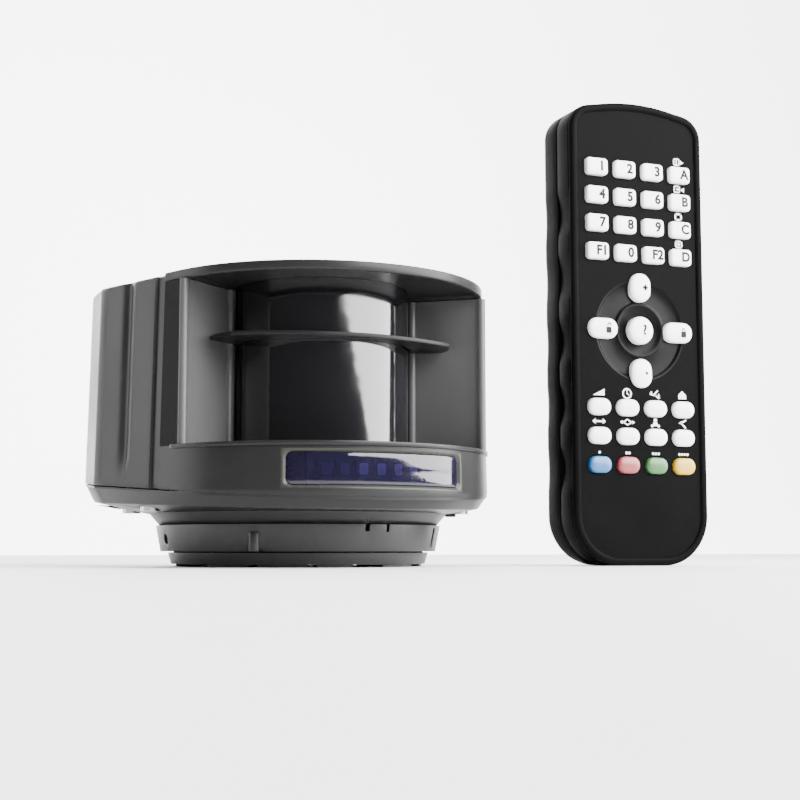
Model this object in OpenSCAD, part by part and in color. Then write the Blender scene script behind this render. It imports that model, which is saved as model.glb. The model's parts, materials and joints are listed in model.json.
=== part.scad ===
// Scanning presence sensor for doors and gates on its swivel-and-tilt bracket, with the
// infrared handset that sets it up. The frame's origin is the centre of the bracket's foot,
// +Z up, the scanning recess faces -Y, and the handset stands beside it on the same plane.

/* [Housing] */
// Width of the housing under the lid
housing_w = 125; // [122:0.5:128]
// Height of the lid's top over the foot
housing_top = 84; // [82:0.5:90]
// Radius of the rounded nose in plan
nose_r = 51.4; // [50:0.1:53]
// Place of the nose's centre along Y
nose_y = -14.2; // [-15:0.1:-12]
// Angle that each flank opens from the Y axis
flank_angle = 23.5; // [20:0.5:25]
// Place of the flat back along Y
back_y = 33; // [31:0.5:36]
// How much wider the walls are at the bottom, each side
draft = 1.3; // [0.5:0.1:2]
// Wall thickness of the housing's shells
wall = 2.2; // [1.6:0.1:2.6]
// Thickness of the lid's lip
lid_t = 2.8; // [2:0.1:3.4]

/* [Recess] */
// Height of the ledge under the window
ledge_z = 34.4; // [33:0.1:36]
// Half width of the recess at its mouth
mouth_x = 45; // [43:0.5:47]
// Place of the mouth's edges along Y
mouth_y = -36; // [-37:0.5:-34]
// Radius of the scanning window
window_r = 26.5; // [24:0.1:28]
// Place of the window's axis along Y
window_y = -19.8; // [-21:0.1:-18]
// Height of the fin's upper face
fin_z = 66.4; // [60:0.1:70]
// Thickness of the fin
fin_t = 1.3; // [1:0.1:2]

/* [Signal lamps] */
// Lower edge of the lamp window
lamp_z = 21.9; // [21.5:0.1:24]
// Height of the lamp window
lamp_h = 10; // [6:0.1:10.2]
// Half of the angle that the lamp window spans
lamp_span = 30; // [20:1:34]
// Angle of the lamp window's middle from the front
lamp_mid = 3; // [-4:1:4]

/* [Bracket] */
// Outer radius of the collar at its top
collar_r = 44; // [43.6:0.1:46]
// Height of the collar's top
collar_top = 12.4; // [12:0.1:13]
// Radius of the dome that the housing tilts on
dome_r = 59; // [58.5:0.1:59]
// Height of the dome's centre, which is the tilt axis
tilt_z = 53; // [53:0.5:54]
// Circle that the four mounting screws lie on
screw_circle = 56; // [54:1:58]
// Diameter of each mounting screw's hole
screw_d = 4.5; // [3.5:0.1:5]

/* [Handset] */
// Length of the handset
hand_l = 150; // [146:1:156]
// Width of the handset
hand_w = 49; // [48:0.5:52]
// Thickness of the handset over its shells
hand_t = 20.6; // [19.4:0.1:22]
// Place of the handset's middle along X
hand_x = 103.5; // [98:0.5:120]
// Place of the handset's front rim along Y
hand_y = -34.2; // [-40:0.1:-20]

/* [Keys] */
// Distance from one key column to the next
key_dx = 10.3; // [10:0.1:10.6]
// Distance from one key row to the next
key_dz = 9.17; // [9:0.01:9.3]
// How far a key travels
key_travel = 0.8; // [0.5:0.1:0.8]
// Gap round a key in its opening
key_gap = 0.2; // [0.15:0.01:0.25]

/* [Hidden] */
$fn = 72;
eps = 0.01;
fit_gap = 0.25;            // between bodies that slide past each other
part_gap = 0.1;            // between pieces of one body

// Housing, derived
half_w = housing_w / 2;
corner_r = 19;             // rear corners in plan
seam_y = -28;              // where front and rear shells meet
shell_top = housing_top - lid_t;
edge_slope = 4.15;         // the walls' lower edge climbs to the rear by this angle
edge_y = -50;              // and has this height there
edge_z = 20.4;
rim_slope = 2.6;           // so does the lower rim of the bottom tray
rim_z = 16.6;
floor_z = 16;
cheek_x = window_r + 0.2;
cheek_y = window_y - 0.6;
band_r = nose_r + draft * 0.9;
lip_z = ledge_z - 1.3;
window_t = 2;

// Bracket, derived
foot_r = 39.2;
hub_r = 24;
web_z = 4.6;
web_t = 1.8;
lock_z = 8.2;               // height of the screws that lock the swivel
neck_z = 9.2;

// Handset, derived: depths are measured back from the front rim
panel_v = 0.7;             // face panel
panel_t = 1.8;
key_top_v = -0.8;          // top of a key cap
key_foot_v = 3.2;
mat_v = key_foot_v + key_travel + part_gap;
mat_t = 1;
board_v = 5.4;
board_t = 1.3;
seam_v = 9.6;              // where the two shells meet
shell_t = 1.8;
rim_w = 2.6;
cell_r = 5.2;
cell_l = 44.5;
cell_v = 12.2;
cell_z0 = 15;
door_w = 30;
door_z0 = 13;
door_z1 = 64;
grip_r = 24;               // finger scallops along both sides
grip_depth = 1.1;
back_grip_depth = 0.4;     // they run on more shallowly into the back shell
grip_z = [for (k = [0:4]) 30.5 + 20.5 * k];

// Keys: name, column (-1.5 to 1.5), height, kind
row_top = 127.6;
nav_z = 75.2;
nav_reach = 13.9;
row_fn = 50.1;
function key_x(col) = col * key_dx + 0.3;
DIGITS = [["1", "2", "3", "a"], ["4", "5", "6", "b"], ["7", "8", "9", "c"], ["f1", "0", "f2", "d"]];
FUNCTIONS = [["wedge", "clock", "relay", "zone"], ["width", "frame", "person", "return"]];
COLOURS = ["blue", "red", "green", "yellow"];
DIGIT_KEYS = [for (r = [0:3], c = [0:3])
    [str("key_", DIGITS[r][c]), key_x(c - 1.5), row_top - r * key_dz, "square"]];
FN_KEYS = [for (r = [0:1], c = [0:3])
    [str("key_", FUNCTIONS[r][c]), key_x(c - 1.5), row_fn - r * key_dz, "oval"]];
COLOUR_KEYS = [for (c = [0:3])
    [str("key_", COLOURS[c]), key_x(c - 1.5), row_fn - 2 * key_dz, COLOURS[c]]];
NAV_KEYS = [
    ["key_plus", 0.3, nav_z + nav_reach, "tall"],
    ["key_minus", 0.3, nav_z - nav_reach, "tall"],
    ["key_unlock", 0.3 - nav_reach, nav_z, "wide"],
    ["key_lock", 0.3 + nav_reach, nav_z, "wide"],
    ["key_query", 0.3, nav_z, "round"],
];
KEYS = concat(DIGIT_KEYS, NAV_KEYS, FN_KEYS, COLOUR_KEYS);

// ---------- shared shapes ----------

// Plan of the housing, inset by t: a round nose, two opening flanks, straight sides and a
// flat back with round corners.
function plan(t) =
    let (
        a = 90 - flank_angle,
        r = nose_r - t,
        w = half_w - t,
        ex = r * sin(a),
        ey = nose_y - r * cos(a),
        side_y = ey + (w - ex) / tan(flank_angle),
        nose = [for (k = [0:24]) let (q = -a + 2 * a * k / 24) [r * sin(q), nose_y - r * cos(q)]],
        cx = half_w - corner_r,
        cy = back_y - corner_r,
        rr = corner_r - t,
        right = [for (k = [0:6]) [cx + rr * cos(k * 15), cy + rr * sin(k * 15)]],
        left = [for (k = [0:6]) [-cx - rr * sin(k * 15), cy + rr * cos(k * 15)]]
    )
    concat(nose, [[w, side_y]], right, left, [[-w, side_y]]);

function inset_at(z) = -draft * (housing_top - z) / (housing_top - edge_z);

module plan_slab(t, z, h = 0.02) {
    translate([0, 0, z]) linear_extrude(h) polygon(plan(t));
}

module tilted_slab(t, z, slope) {
    translate([0, edge_y, z]) rotate([slope, 0, 0]) translate([0, -edge_y, 0])
        linear_extrude(0.02) polygon(plan(t));
}

// The drafted housing solid between two heights, inset by t.
module housing(t, z0, z1) {
    hull() {
        plan_slab(t + inset_at(z0), z0);
        plan_slab(t + inset_at(z1), z1 - 0.02);
    }
}

// Everything under the walls' sloping lower edge.
module below_edge() {
    translate([0, edge_y, edge_z]) rotate([edge_slope, 0, 0]) translate([-100, -100, -60])
        cube([200, 250, 60]);
}

// A sector of a ring round the vertical axis through y, from angle a0 to a1 off the front.
module sector(r0, r1, z0, z1, a0, a1, y = 0) {
    translate([0, y, z0]) rotate([0, 0, a0 - 90]) rotate_extrude(angle = a1 - a0)
        translate([r0, 0]) square([r1 - r0, z1 - z0]);
}

// A straight tube or rod along Y, between two depths.
module rod_y(r, x, z, y0, y1) {
    translate([x, y0, z]) rotate([-90, 0, 0]) cylinder(r = r, h = y1 - y0);
}

// ---------- bracket ----------

module foot_pads() {
    for (a = [-62, -36, -10, 22, 55, 105, 165, 225])
        sector(33, foot_r - 0.9, 0, 0.8 + eps, a, a + (a == -10 ? 16 : 22));
    for (a = [45:90:315]) rotate([0, 0, a]) translate([screw_circle / 2, 0, 0])
        cylinder(r = screw_d, h = 0.8 + eps);
}

module mounting_base() color([0.17, 0.17, 0.18]) {
    difference() {
        union() {
            foot_pads();
            translate([0, 0, 0.8]) cylinder(r = foot_r, h = 2.2);
            translate([0, 0, 0.8]) cylinder(r1 = foot_r, r2 = foot_r + 1.1, h = 3.5);
            translate([0, 0, 2.8]) cylinder(r = hub_r, h = 5.4);
            for (a = [40, 220]) sector(hub_r - 1, hub_r + 2, web_z + web_t + 0.3, 8.2, a, a + 24);
            sector(foot_r - 1.8, foot_r - 0.6, 3, web_z + 0.5, 0, 360);
        }
        translate([0, 0, 3]) difference() {
            cylinder(r = foot_r - 1.8, h = 6);
            cylinder(r = hub_r + 2.5, h = 6);
        }
        translate([0, 0, 3]) difference() {
            cylinder(r = hub_r + 2.6, h = web_z + web_t + 0.3 - 3);
            cylinder(r = hub_r, h = 6);
        }
        translate([0, 0, -1]) cylinder(r = hub_r - 2.4, h = 12);
        for (a = [45:90:315]) rotate([0, 0, a]) translate([screw_circle / 2, 0, -1])
            cylinder(d = screw_d, h = 6);
    }
}

module swivel_collar() color([0.2, 0.2, 0.21]) {
    difference() {
        union() {
            translate([0, 0, web_z]) cylinder(r1 = collar_r - 1.5, r2 = collar_r, h = collar_top - web_z);
            rotate([0, 0, -35]) translate([0, -collar_r + 0.9, web_z]) cylinder(r = 1.7, h = 5.4);
        }
        translate([0, 0, tilt_z]) sphere(r = dome_r + fit_gap, $fn = 144);
        translate([0, 0, web_z + web_t]) cylinder(r = neck_mouth_r, h = 20);
        translate([0, 0, web_z - 1]) cylinder(r = hub_r + 0.08, h = 10);
        for (a = [40, 220]) sector(hub_r, hub_r + 2.4, web_z - 1, web_z + 3, a - 36, a - 8);
        sector(foot_r - 2.2, foot_r - 0.2, web_z - 1, web_z + 0.8, 0, 360);
        rotate([0, 0, 8.7]) translate([-0.7, -50, collar_top - 2]) cube([1.4, 8, 3]);
        rotate([0, 0, 18]) translate([-0.5, -50, collar_top - 2.2]) cube([1, 8, 3]);
        rotate([0, 0, 51]) translate([-0.9, -50, web_z - 1]) cube([1.8, 7.4, 8]);
        for (a = [-84, 96]) rotate([0, 0, a]) rod_y(1.5, 0, lock_z, -50, -34);
    }
}
neck_mouth_r = sqrt(pow(dome_r + fit_gap, 2) - pow(tilt_z - neck_z + 0.6, 2));

module lock_screws() color([0.5, 0.5, 0.52]) {
    for (a = [-84, 96]) rotate([0, 0, a]) difference() {
        rod_y(1.4, 0, lock_z, -42.3, -40.5);
        translate([0, -43, lock_z]) rotate([-90, 0, 0]) cylinder(r = 0.8, h = 1.8, $fn = 6);
    }
}

module tilt_dome() color([0.17, 0.17, 0.18]) {
    difference() {
        intersection() {
            translate([0, 0, tilt_z]) sphere(r = dome_r, $fn = 144);
            translate([0, 0, neck_z]) cylinder(r = 60, h = floor_z - neck_z - 3 * eps);
        }
        translate([0, 0, neck_z - 1]) cylinder(r = 35.6, h = 12);
    }
    rotate([0, 0, 8.7]) translate([0, -collar_r - 0.2, 14.4]) rotate([0, 90, 90])
        cylinder(r = 1.2, h = 3, $fn = 3);
}

// ---------- sensor housing ----------

module lower_case() color([0.19, 0.19, 0.2]) {
    difference() {
        hull() {
            tilted_slab(inset_at(edge_z) + 0.15, edge_z - 0.25, edge_slope);
            tilted_slab(1.6, rim_z, rim_slope);
            translate([0, 0, floor_z]) cylinder(r = 46.4, h = 0.1);
        }
        intersection() {
            hull() {
                tilted_slab(inset_at(edge_z) + wall + 1.6, edge_z + 8, edge_slope);
                tilted_slab(4.2, rim_z + 2.2, rim_slope);
                translate([0, 0, floor_z + 2]) cylinder(r = 43, h = 0.1);
            }
            plan_slab(wall + 1, floor_z, 40);
        }
        translate([0, 14, floor_z - 1]) cylinder(r = 11, h = 6);
        for (p = CASE_SCREWS) {
            translate([p[0], p[1], 0]) cylinder(r = 1.6, h = 40);
            translate([p[0], p[1], floor_z - 3]) cylinder(r = 3.1, h = 5.2);
        }
    }
    for (p = CASE_SCREWS) translate([p[0], p[1], floor_z + 2.1]) difference() {
        cylinder(r = 4.1, h = 3.7);
        translate([0, 0, -1]) cylinder(r = 1.6, h = 6);
    }
    rotate([0, 0, 67]) translate([-1.8, -49, floor_z - 0.8]) cube([3.6, 3.4, 1]);
}
CASE_SCREWS = [[-49.5, -12], [49.5, -12], [-49, 17], [49, 17]];

// The recess as a solid: everything that is open air in front of the window.
module recess_space(z0, z1) {
    translate([0, 0, z0]) linear_extrude(z1 - z0) polygon([
        [-bead_x, mouth_y - 40], [bead_x, mouth_y - 40], [bead_x, mouth_y], [mouth_x, mouth_y],
        [cheek_x, cheek_y], [cheek_x, cheek_y + 1], [-cheek_x, cheek_y + 1],
        [-cheek_x, cheek_y], [-mouth_x, mouth_y], [-bead_x, mouth_y]]);
}
bead_x = mouth_x + 1.2;    // the mouth's edges end in round beads
bead_r = 1.35;
post = [28.9, -22.3];      // a slim round rib beside the window, on each cheek
post_r = 1.3;

// One cheek of the recess, a straight wall from the mouth's edge to the window.
module cheek(side) {
    translate([0, 0, lip_z]) linear_extrude(shell_top - lip_z) polygon([
        [side * mouth_x, mouth_y], [side * cheek_x, cheek_y], [side * cheek_x, cheek_y + 2.6],
        [side * (cheek_x + 2.2), cheek_y + 2.6], [side * (mouth_x + 1.6), mouth_y + 2.2]]);
    translate([side * bead_x, mouth_y + 0.1, lip_z]) cylinder(r = bead_r, h = shell_top - lip_z);
    translate([side * post[0], post[1], lip_z]) cylinder(r = post_r, h = shell_top - lip_z);
}

module front_case() color([0.2, 0.2, 0.21]) {
    difference() {
        union() {
            difference() {
                union() {
                    difference() {
                        housing(0, floor_z, shell_top);
                        housing(wall, floor_z - 1, shell_top + 1);
                    }
                    translate([0, lip_centre_y, lip_z]) cylinder(r = lip_r, h = ledge_z - lip_z);
                }
                translate([-80, seam_y, 0]) cube([160, 80, 100]);
                translate([0, 0, ledge_z]) recess_space(0, 60);
                translate([0, window_y, lip_z - 1]) cylinder(r = window_r - window_t - 1, h = 6);
            }
            for (side = [-1, 1]) cheek(side);
        }
        below_edge();
        lamp_opening(0);
    }
}
lip_centre_y = -14.6;
lip_r = 52.8;

// The lamp window's opening, or the lens itself when shrunk by g.
module lamp_opening(g) {
    half = lamp_span - g * 1.1;
    sector(band_r - 4 + 2 * g, band_r + 3, lamp_z + g, lamp_z + lamp_h - g,
           lamp_mid - half, lamp_mid + half, nose_y);
}

module lamp_window() color([0.25, 0.22, 0.6, 0.7]) {
    half = lamp_span - part_gap;
    sector(band_r - 2.2, band_r - 0.5, lamp_z + part_gap, lamp_z + lamp_h - part_gap,
           lamp_mid - half, lamp_mid + half, nose_y);
}

module lamp_board() color([0.1, 0.3, 0.18]) {
    rotate([0, 0, lamp_mid]) translate([-20, -58, lamp_z - 0.6]) cube([40, 1.2, lamp_h + 1]);
    for (k = [-3:3]) rotate([0, 0, lamp_mid]) translate([k * 5.4 - 1.6, -60, lamp_z + 2.4])
        cube([3.2, 2, 5]);
}

channel_w = 4.2;           // upright channel behind the shells' seam
channel_d = 0.9;

groove_x = 62;              // the rod that cuts a shallow upright groove in each flank
groove_y = -9;
groove_r = 4.4;
groove_z = edge_z + 6;

module flank_grooves() {
    for (side = [-1, 1]) translate([side * groove_x, groove_y, groove_z])
        cylinder(r = groove_r, h = housing_top);
}

// Length of the rib that ties a screw boss to the wall beside it.
function boss_rib(p) = p[1] < 0 ? 7.3 : 12.6;

module rear_case() color([0.2, 0.2, 0.21]) {
    difference() {
        union() {
            difference() {
                housing(0, floor_z, housing_top - 0.5);
                housing(wall, floor_z - 1, housing_top + 1);
                translate([-80, -100, 0]) cube([160, 100 + seam_y + part_gap, 100]);
            }
            for (p = CASE_SCREWS) translate([p[0], p[1], 0]) {
                translate([0, 0, floor_z + 6]) cylinder(r = 4, h = 14);
                translate([p[0] > 0 ? 0 : -boss_rib(p), -1.2, floor_z + 8])
                    cube([boss_rib(p), 2.4, 12]);
            }
        }
        below_edge();
        flank_grooves();
        difference() {
            translate([-90, seam_y - 1, 0]) cube([180, 1 + channel_w, 110]);
            housing(channel_d, floor_z - 2, housing_top + 1);
        }
        for (p = CASE_SCREWS) translate([p[0], p[1], 0]) cylinder(r = 1.25, h = floor_z + 17);
        rod_y(8.1, gland_x, gland_z, back_y - 8, back_y + 5);
    }
}
gland_x = 30;
gland_z = 42;
gland_nut_r = 10.5;         // across the corners of its nuts

lid_lip = 1.8;             // rim left round the lid's pocket over the recess
pocket_h = 1.6;

module top_cover() color([0.17, 0.17, 0.18]) {
    difference() {
        union() {
            intersection() {
                plan_slab(0, shell_top + part_gap, lid_t - part_gap);
                translate([-80, -100, 0]) cube([160, 100 + seam_y, 100]);
            }
            plan_slab(wall + 0.15, shell_top + part_gap, lid_t - part_gap);
        }
        intersection() {
            plan_slab(lid_lip, shell_top - 1, 1 + pocket_h);
            recess_space(shell_top - 1, shell_top + pocket_h);
        }
        translate([0, window_y, shell_top - 1]) cylinder(r = window_r + 0.15, h = 1 + pocket_h);
    }
    for (side = [-1, 1]) translate([side * 40, 0, shell_top - 3]) cylinder(r = 3, h = 3.2);
}

module scan_window() color([0.03, 0.03, 0.03]) {
    sector(window_r - window_t, window_r, ledge_z + part_gap, shell_top + pocket_h - part_gap,
           -96, 96, window_y);
}

module window_fin() color([0.15, 0.15, 0.16]) {
    translate([0, 0, fin_z - fin_t]) difference() {
        linear_extrude(fin_t) polygon(concat(
            [for (k = [-9:9]) let (q = k * 34 / 9) [60 * sin(q), 9 - 60 * cos(q)]],
            [[36.4, -33.5], [fin_tip_x, fin_tip_y], [cheek_x, cheek_y - 0.15]],
            [[-cheek_x, cheek_y - 0.15], [-fin_tip_x, fin_tip_y], [-36.4, -33.5]]));
        translate([0, window_y, -1]) cylinder(r = window_r + part_gap, h = fin_t + 2);
        for (side = [-1, 1]) translate([side * post[0], post[1], -1])
            cylinder(r = post_r + part_gap, h = fin_t + 2);
    }
}
fin_tip_x = 36.6;
fin_tip_y = cheek_y - (fin_tip_x - cheek_x) * (cheek_y - mouth_y) / (mouth_x - cheek_x) - 0.2;

// ---------- inside the sensor ----------

module motor_stator() color([0.3, 0.3, 0.32]) {
    translate([0, window_y, 0]) difference() {
        union() {
            translate([0, 0, floor_z + 2.1]) cylinder(r = 17, h = 2.9);
            translate([0, 0, floor_z + 5]) cylinder(r = 13.5, h = 11);
        }
        translate([0, 0, floor_z]) cylinder(r = 2.05, h = 30);
    }
}

module scan_rotor() color([0.6, 0.6, 0.62]) {
    translate([0, window_y, 0]) {
        translate([0, 0, floor_z + 4]) cylinder(r = 2, h = 16.5);
        difference() {
            translate([0, 0, 36.2]) cylinder(r = 20, h = 1);
            for (a = [0:30:330]) rotate([0, 0, a]) translate([18, 0, 36]) cylinder(r = 0.9, h = 2);
        }
        translate([0, 0, 37.2]) cylinder(r = 12, h = 3);
    }
}

module scan_mirror() color([0.8, 0.82, 0.85]) {
    translate([0, window_y, 0]) intersection() {
        translate([0, 0, 40.2]) cylinder(r = 17, h = 36);
        union() {
            translate([-16, -3, 40.2]) cube([32, 6, 36]);
            translate([0, 0, 44]) cylinder(r = 7, h = 3);
            translate([0, 0, 62]) cylinder(r = 9, h = 6);
        }
    }
}

module laser_module() color([0.25, 0.27, 0.3]) {
    difference() {
        union() {
            translate([-14, 6, 40]) cube([28, 14, 38]);
            rod_y(5, 0, 72, 3, 8);
            rod_y(9, 0, 52, 2, 8);
        }
        rod_y(3.4, 0, 72, 0, 10);
        rod_y(7.4, 0, 52, 0, 9);
    }
    rod_y(3.3, 0, 72, 6, 10);
    rod_y(7.3, 0, 52, 6, 9);
}

module main_board() color([0.1, 0.32, 0.18]) {
    translate([-38, 21.5, 27]) cube([60, 1.6, 50]);
    translate([-30, 18.2, 32]) cube([12, 3.3, 12]);
    translate([-32, 17.2, 56]) cube([10, 4.3, 6]);
}

module cable_gland() color([0.12, 0.12, 0.13]) {
    difference() {
        union() {
            rod_y(8, gland_x, gland_z, back_y - wall - 3, back_y + 1.3);
            translate([gland_x, back_y + 1.2, gland_z]) rotate([-90, 0, 0])
                cylinder(r = gland_nut_r, h = 4.4, $fn = 6);
            rod_y(8.6, gland_x, gland_z, back_y + 5.5, back_y + 10);
            translate([gland_x, back_y - wall - 4.4, gland_z]) rotate([-90, 0, 0])
                cylinder(r = gland_nut_r, h = 3.6, $fn = 6);
        }
        rod_y(3.5, gland_x, gland_z, back_y - 20, back_y + 20);
    }
}

module case_screws() color([0.5, 0.5, 0.52]) {
    for (p = CASE_SCREWS) translate([p[0], p[1], 0]) difference() {
        union() {
            translate([0, 0, floor_z + 0.3]) cylinder(r = 2.8, h = 1.8);
            translate([0, 0, floor_z + 2]) cylinder(r = 1.2, h = 13);
        }
        translate([0, 0, floor_z]) cylinder(r = 1.3, h = 1.6, $fn = 6);
    }
}

// ---------- handset ----------

// Outline of the handset in its own X-Z plane, inset by t: an arched top with rounded
// corners and a strongly rounded bottom end.
function hand_plan(t) =
    let (
        w = hand_w / 2,
        top_r = 8,
        low_r = 16,
        arch = 2,
        tr = top_r - t,
        lr = low_r - t
    )
    concat(
        [for (k = [0:8]) let (q = k * 90 / 8) [w - low_r + lr * sin(q), low_r - lr * cos(q)]],
        [for (k = [0:6]) let (q = k * 80 / 6)
            [w - top_r + tr * cos(q), hand_l - arch - top_r + tr * sin(q)]],
        [for (k = [-7:7]) let (u = -k / 8) [u * (w - top_r), hand_l - t - arch * u * u]],
        [for (k = [0:6]) let (q = 80 - k * 80 / 6)
            [-w + top_r - tr * cos(q), hand_l - arch - top_r + tr * sin(q)]],
        [for (k = [0:8]) let (q = 90 - k * 90 / 8) [-w + low_r - lr * sin(q), low_r - lr * cos(q)]]);

// A prism of that outline between two depths.
module hand_prism(t, v0, v1) {
    translate([hand_x, hand_y + v1, 0]) rotate([90, 0, 0]) linear_extrude(v1 - v0)
        polygon(hand_plan(t));
}

// Stands a piece of the handset at a key's place: X across, Y up the handset, Z out of the face.
module at_face(x, z, v) {
    translate([hand_x + x, hand_y + v, z]) rotate([90, 0, 0]) children();
}

// Outline of one key cap, grown by g.
module key_shape(kind, g) {
    if (kind == "square") rounded(7.8, 5.5, 1.3, g);
    else if (kind == "tall") rounded(7.6, 9.4, 3.6, g);
    else if (kind == "wide") rounded(10.6, 6.6, 3.1, g);
    else if (kind == "round") circle(r = 4.5 + g);
    else rounded(8, 5.4, 2.5, g);
}

// A rectangle w by h with round corners r, grown by g.
module rounded(w, h, r, g) {
    for (sx = [-1, 1], sy = [-1, 1]) translate([sx * (w / 2 - r), sy * (h / 2 - r)])
        circle(r = r + g, $fn = 24);
    square([w + 2 * g, h - 2 * r], center = true);
    square([w - 2 * r, h + 2 * g], center = true);
}

module grips(depth, v0, v1) {
    for (side = [-1, 1], z = grip_z)
        rod_y(grip_r, hand_x + side * (hand_w / 2 + grip_r - depth), z, hand_y + v0, hand_y + v1);
}

HAND_SCREWS = [[-15, 68.4], [15, 68.4], [-15, 139], [15, 139], [-19, 20], [19, 20]];

module handset_front() color([0.05, 0.05, 0.055]) {
    difference() {
        hand_prism(0, 0, seam_v - part_gap);
        hand_prism(rim_w, -1, panel_v);
        hand_prism(shell_t, panel_v + panel_t, seam_v + 1);
        for (k = KEYS) at_face(k[1], k[2], panel_v + panel_t + 1) linear_extrude(6)
            key_shape(k[3], key_gap);
        at_face(0.3, nav_z, panel_v + 0.5) difference() {
            cylinder(r = 15.8, h = 2);
            translate([0, 0, -1]) cylinder(r = 8.2, h = 4);
        }
        grips(grip_depth, 1.8, seam_v + 1);
        for (p = EMITTERS) translate([hand_x + p, hand_y + emitter_v, hand_l - 8]) cylinder(r = 2.7, h = 12);
    }
    for (p = HAND_SCREWS) at_face(p[0], p[1], board_v - part_gap) difference() {
        cylinder(r = 2.2, h = board_v - panel_v - panel_t);
        translate([0, 0, -1]) cylinder(r = 0.9, h = 3.4);
    }
}
EMITTERS = [-6, 6];
emitter_v = 7.72;

module key_cap(k) {
    c = k[3] == "blue" ? [0.2, 0.42, 0.75]
        : k[3] == "red" ? [0.75, 0.25, 0.28]
        : k[3] == "green" ? [0.22, 0.55, 0.25]
        : k[3] == "yellow" ? [0.85, 0.68, 0.12] : [0.92, 0.92, 0.92];
    color(c) at_face(k[1], k[2], key_foot_v) linear_extrude(key_foot_v - key_top_v)
        key_shape(k[3], 0);
}

module key_mat() color([0.25, 0.25, 0.26]) {
    difference() {
        hand_prism(4.2, mat_v, mat_v + mat_t);
        for (p = HAND_SCREWS) at_face(p[0], p[1], mat_v + 3) cylinder(r = 2.8, h = 6);
    }
}

module handset_board() color([0.1, 0.32, 0.18]) {
    difference() {
        hand_prism(4.2, board_v, board_v + board_t);
        for (p = HAND_SCREWS) at_face(p[0], p[1], board_v + 3) cylinder(r = 1.2, h = 6);
    }
    for (p = EMITTERS) {
        translate([hand_x + p, hand_y + emitter_v, hand_l - 7.6]) cylinder(r = 2.5, h = 4.6);
        translate([hand_x + p, hand_y + emitter_v, hand_l - 3]) sphere(r = 2.5);
    }
}

module handset_back() color([0.05, 0.05, 0.055]) {
    difference() {
        union() {
            difference() {
                hand_prism(0, seam_v, hand_t);
                hand_prism(shell_t, seam_v - 1, hand_t - shell_t);
            }
            for (p = HAND_SCREWS) at_face(p[0], p[1], hand_t - shell_t + 0.5)
                cylinder(r = 3, h = hand_t - shell_t + 0.5 - board_v - board_t - part_gap);
            intersection() {
                hand_prism(0, seam_v, hand_t);
                translate([hand_x - door_w / 2 - 2, hand_y + hand_t - 2 * shell_t, 0])
                    cube([door_w + 4, shell_t, door_z0]);
            }
        }
        translate([hand_x - door_w / 2, hand_y + hand_t - shell_t - 1, door_z0])
            cube([door_w, shell_t + 3, door_z1 - door_z0]);
        translate([hand_x - door_w / 2, hand_y + hand_t - shell_t, -1])
            cube([door_w, shell_t + 3, door_z0 + 2]);
        grips(back_grip_depth, seam_v - 1, hand_t + 1);
        for (p = EMITTERS) translate([hand_x + p, hand_y + emitter_v, hand_l - 8]) cylinder(r = 2.7, h = 12);
        for (p = HAND_SCREWS) at_face(p[0], p[1], hand_t + 1) {
            cylinder(r = 1.1, h = 15);
            cylinder(r = 2.3, h = 1 + screw_sink);
        }
    }
}

module battery_door() color([0.05, 0.05, 0.055]) {
    difference() {
        translate([hand_x - door_w / 2 + 0.2, hand_y + hand_t - shell_t + 0.2, door_z0 - 0.5])
            cube([door_w - 0.4, shell_t - 0.2, door_z1 - door_z0 + 0.3]);
        for (k = [0:4]) translate([hand_x - 5, hand_y + hand_t - 0.4, door_z1 - 10 + k * 1.4])
            cube([10, 2, 0.6]);
    }
}

screw_sink = 3;            // depth of a handset screw's counterbore
module battery_cells() color([0.75, 0.55, 0.2]) {
    for (side = [-1, 1]) translate([hand_x + side * 6.2, hand_y + cell_v, cell_z0]) {
        cylinder(r = cell_r, h = cell_l - 1);
        translate([0, 0, cell_l - 1 - eps]) cylinder(r = 1.9, h = 1 + eps);
    }
}

module battery_contacts() color([0.8, 0.8, 0.82]) {
    for (z = [cell_z0 - 0.6, cell_z0 + cell_l + 0.1], side = [-1, 1])
        translate([hand_x + side * 6.2 - 3.5, hand_y + cell_v - 3.5, z]) cube([7, 7, 0.5]);
}

module handset_screws() color([0.5, 0.5, 0.52]) {
    for (p = HAND_SCREWS) at_face(p[0], p[1], hand_t - screw_sink + 0.8) difference() {
        union() {
            cylinder(r = 0.85, h = hand_t - screw_sink + 0.8 - 3.4);
            cylinder(r = 2, h = 0.75);
        }
        for (a = [0, 90]) rotate([0, 0, a]) translate([-1.2, -0.25, -0.2]) cube([2.4, 0.5, 0.6]);
    }
}

// ---------- what is drawn ----------

mounting_base();
swivel_collar();
lock_screws();
tilt_dome();
lower_case();
front_case();
rear_case();
top_cover();
scan_window();
window_fin();
lamp_window();
lamp_board();
main_board();
motor_stator();
scan_rotor();
scan_mirror();
laser_module();
cable_gland();
case_screws();
handset_front();
handset_back();
battery_door();
key_mat();
handset_board();
battery_cells();
battery_contacts();
handset_screws();
for (k = KEYS) key_cap(k);
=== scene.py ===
import json
import math

import bmesh
import bpy
from mathutils import Matrix, Vector
from mathutils.geometry import delaunay_2d_cdt

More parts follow.
